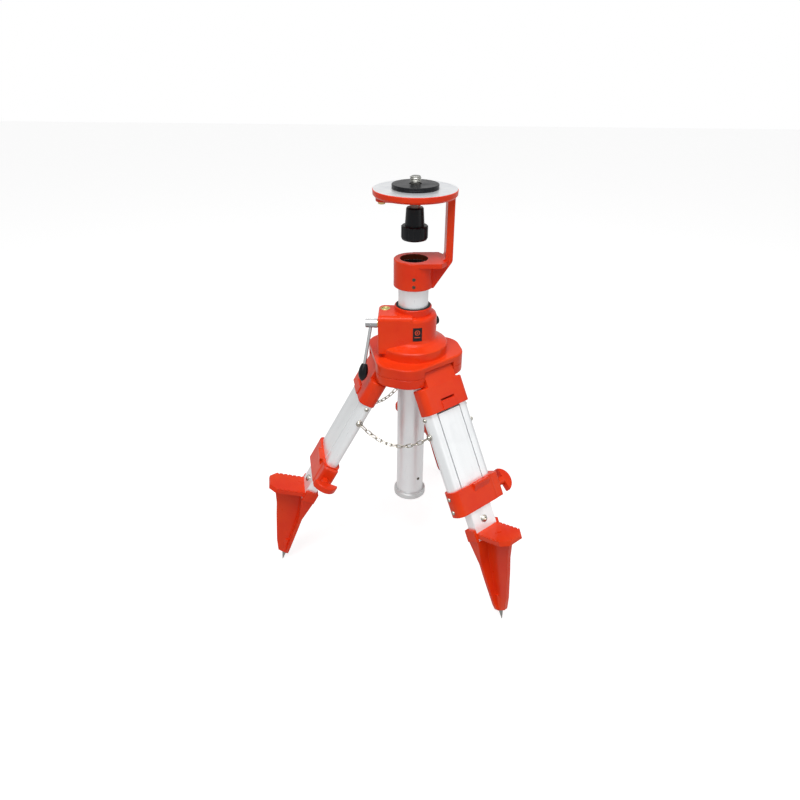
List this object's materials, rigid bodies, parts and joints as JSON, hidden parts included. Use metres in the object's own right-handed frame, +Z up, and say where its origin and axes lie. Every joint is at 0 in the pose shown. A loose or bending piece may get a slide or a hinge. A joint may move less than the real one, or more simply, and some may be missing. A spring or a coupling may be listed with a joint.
{
  "type": "surveyor tripod",
  "caption": "Short elevating surveyor tripod: three telescopic legs, a geared column raised by a folding crank, and a round instrument platform on an offset upright.",
  "frame": {"origin": "on the ground under the column's axis, with the legs spread", "axes": "+Z up along the column, +X towards the head's upright, -Y towards the side that carries the label plate"},
  "size_m": [0.4077, 0.4195, 0.6571],
  "materials": {
    "black_plastic": "fine moulded grain",
    "brass": "turned",
    "bright_steel": "bright plated",
    "label_black": "printed plate",
    "orange_casting": "gloss enamel on a slightly textured casting",
    "plain_steel": "zinc plated, slightly worn",
    "satin_aluminium": "satin anodised extrusion",
    "vial_liquid": "clear yellow-green"
  },
  "bodies": {
    "hub": {"gear_housing": "orange_casting", "lower_plate": "orange_casting", "lobe_screws": "plain_steel", "hinge_pins": "plain_steel", "column_bushes": "black_plastic", "shaft_bushes": "brass", "level_vial": "vial_liquid", "label_plate": "label_black", "chain_left": "bright_steel", "chain_right": "bright_steel", "chain_back": "bright_steel"},
    "column": {"column_tube": "satin_aluminium", "gear_rack": "plain_steel", "column_end_ring": "satin_aluminium", "grub_screws": "plain_steel", "head_bracket": "orange_casting", "platform_pad": "black_plastic", "screw_strap": "orange_casting", "strap_pivot_screw": "brass"},
    "centring": {"centring_screw": "bright_steel", "centring_knob": "black_plastic"},
    "crank_hub": {"crank_shaft": "bright_steel", "crank_bevel": "plain_steel", "crank_pin": "bright_steel"},
    "crank_handle": {"crank_arm": "bright_steel"},
    "crank_grip_body": {"crank_grip": "black_plastic"},
    "pinion": {"pinion_shaft": "plain_steel", "pinion_bevel": "plain_steel"},
    "column_lock": {"lock_screw": "plain_steel", "lock_knob": "black_plastic"},
    "leg_left": {"leg_left_cap": "orange_casting", "leg_left_rail_cw": "satin_aluminium", "leg_left_rail_ccw": "satin_aluminium", "leg_left_fixings": "bright_steel", "leg_left_clamp": "orange_casting"},
    "leg_left_extension": {"leg_left_inner": "satin_aluminium", "leg_left_foot": "orange_casting", "leg_left_foot_screw": "bright_steel", "leg_left_spike": "plain_steel"},
    "leg_left_clamp_screw": {"leg_left_clamp_knob": "orange_casting"},
    "leg_right": {"leg_right_cap": "orange_casting", "leg_right_rail_cw": "satin_aluminium", "leg_right_rail_ccw": "satin_aluminium", "leg_right_fixings": "bright_steel", "leg_right_clamp": "orange_casting"},
    "leg_right_extension": {"leg_right_inner": "satin_aluminium", "leg_right_foot": "orange_casting", "leg_right_foot_screw": "bright_steel", "leg_right_spike": "plain_steel"},
    "leg_right_clamp_screw": {"leg_right_clamp_knob": "orange_casting"},
    "leg_back": {"leg_back_cap": "orange_casting", "leg_back_rail_cw": "satin_aluminium", "leg_back_rail_ccw": "satin_aluminium", "leg_back_fixings": "bright_steel", "leg_back_clamp": "orange_casting"},
    "leg_back_extension": {"leg_back_inner": "satin_aluminium", "leg_back_foot": "orange_casting", "leg_back_foot_screw": "bright_steel", "leg_back_spike": "plain_steel"},
    "leg_back_clamp_screw": {"leg_back_clamp_knob": "orange_casting"}
  },
  "joints": [
    {"name": "column_slide", "type": "slide", "parent": "hub", "child": "column", "axis": [0, 0, 1], "range_m": [-0.028, 0.23]},
    {"name": "pinion_spin", "type": "hinge", "parent": "hub", "child": "pinion", "pos_m": [-0.0285, 0, 0.451], "axis": [0, 1, 0], "range_deg": [-1758, 215]},
    {"name": "crank_spin", "type": "hinge", "parent": "hub", "child": "crank_hub", "pos_m": [-0.0285, -0.027, 0.451], "axis": [1, 0, 0], "range_deg": [-1758, 215]},
    {"name": "crank_fold", "type": "hinge", "parent": "crank_hub", "child": "crank_handle", "pos_m": [-0.0615, -0.027, 0.451], "axis": [0, 0.9483, -0.3173], "range_deg": [0, 85]},
    {"name": "crank_grip_spin", "type": "hinge", "parent": "crank_handle", "child": "crank_grip_body", "pos_m": [-0.0615, -0.027, 0.451], "axis": [-0.1547, -0.3135, -0.9369], "continuous": true},
    {"name": "centring_spin", "type": "hinge", "parent": "column", "child": "centring", "pos_m": [0, 0, 0.64], "axis": [0, 0, 1], "continuous": true},
    {"name": "column_lock_turn", "type": "hinge", "parent": "hub", "child": "column_lock", "pos_m": [0.02571, 0.03064, 0.43], "axis": [0.6428, 0.766, 0], "range_deg": [-360, 90]},
    {"name": "leg_left_fold", "type": "hinge", "parent": "hub", "child": "leg_left", "pos_m": [-0.04992, -0.01043, 0.381], "axis": [-0.2045, 0.9789, 0], "range_deg": [-29, 0], "deforming": ["chain_left", "chain_back"]},
    {"name": "leg_left_slide", "type": "slide", "parent": "leg_left", "child": "leg_left_extension", "axis": [-0.4805, -0.1004, -0.8712], "range_m": [0, 0.09]},
    {"name": "leg_left_clamp_turn", "type": "hinge", "parent": "leg_left", "child": "leg_left_clamp_screw", "pos_m": [-0.14655, -0.03062, 0.20081], "axis": [0.2045, -0.9789, 0], "range_deg": [-270, 60]},
    {"name": "leg_right_fold", "type": "hinge", "parent": "hub", "child": "leg_right", "pos_m": [0.03399, -0.03802, 0.381], "axis": [-0.7455, -0.6665, 0], "range_deg": [-29, 0], "deforming": ["chain_left", "chain_right"]},
    {"name": "leg_right_slide", "type": "slide", "parent": "leg_right", "child": "leg_right_extension", "axis": [0.3272, -0.366, -0.8712], "range_m": [0, 0.09]},
    {"name": "leg_right_clamp_turn", "type": "hinge", "parent": "leg_right", "child": "leg_right_clamp_screw", "pos_m": [0.09979, -0.11161, 0.20081], "axis": [0.7455, 0.6665, 0], "range_deg": [-270, 60]},
    {"name": "leg_back_fold", "type": "hinge", "parent": "hub", "child": "leg_back", "pos_m": [0.01593, 0.04845, 0.381], "axis": [0.95, -0.3123, 0], "range_deg": [-29, 0], "deforming": ["chain_right", "chain_back"]},
    {"name": "leg_back_slide", "type": "slide", "parent": "leg_back", "child": "leg_back_extension", "axis": [0.1533, 0.4663, -0.8712], "range_m": [0, 0.09]},
    {"name": "leg_back_clamp_turn", "type": "hinge", "parent": "leg_back", "child": "leg_back_clamp_screw", "pos_m": [0.04676, 0.14223, 0.20081], "axis": [-0.95, 0.3123, 0], "range_deg": [-270, 60]}
  ],
  "couplings": [
    {"joint": "pinion_spin", "follows": "column_slide", "rad_per_m": -133.33},
    {"joint": "crank_spin", "follows": "column_slide", "rad_per_m": -133.33}
  ]
}
